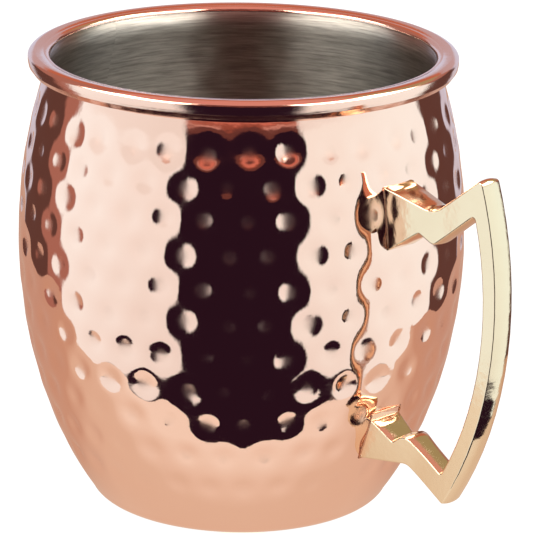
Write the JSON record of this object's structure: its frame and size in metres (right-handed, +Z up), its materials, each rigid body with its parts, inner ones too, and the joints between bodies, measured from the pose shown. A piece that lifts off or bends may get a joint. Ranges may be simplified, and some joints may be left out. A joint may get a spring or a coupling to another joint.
{
  "type": "handled mug",
  "caption": "Barrel-shaped drinking mug: hammered copper shell with a rolled rim, a steel liner, and an angular brass side handle brazed on at two feet.",
  "frame": {"origin": "centre of the foot ring, on the plane the mug stands on", "axes": "+Z up along the cup's axis, +X from the axis towards the handle, +Y across the handle"},
  "size_m": [0.1252, 0.0972, 0.1],
  "materials": {
    "copper": "hammered copper, polished and clear lacquered",
    "steel": "spun lines around the cup",
    "brass": "polished pale brass",
    "stud_steel": "plain",
    "braze": "cleaned braze metal, slightly dull"
  },
  "bodies": {
    "root": {"copper_shell": "copper", "steel_liner": "steel", "handle": "brass", "upper_stud": "stud_steel", "lower_stud": "stud_steel", "upper_braze": "braze", "lower_braze": "braze"}
  },
  "joints": []
}
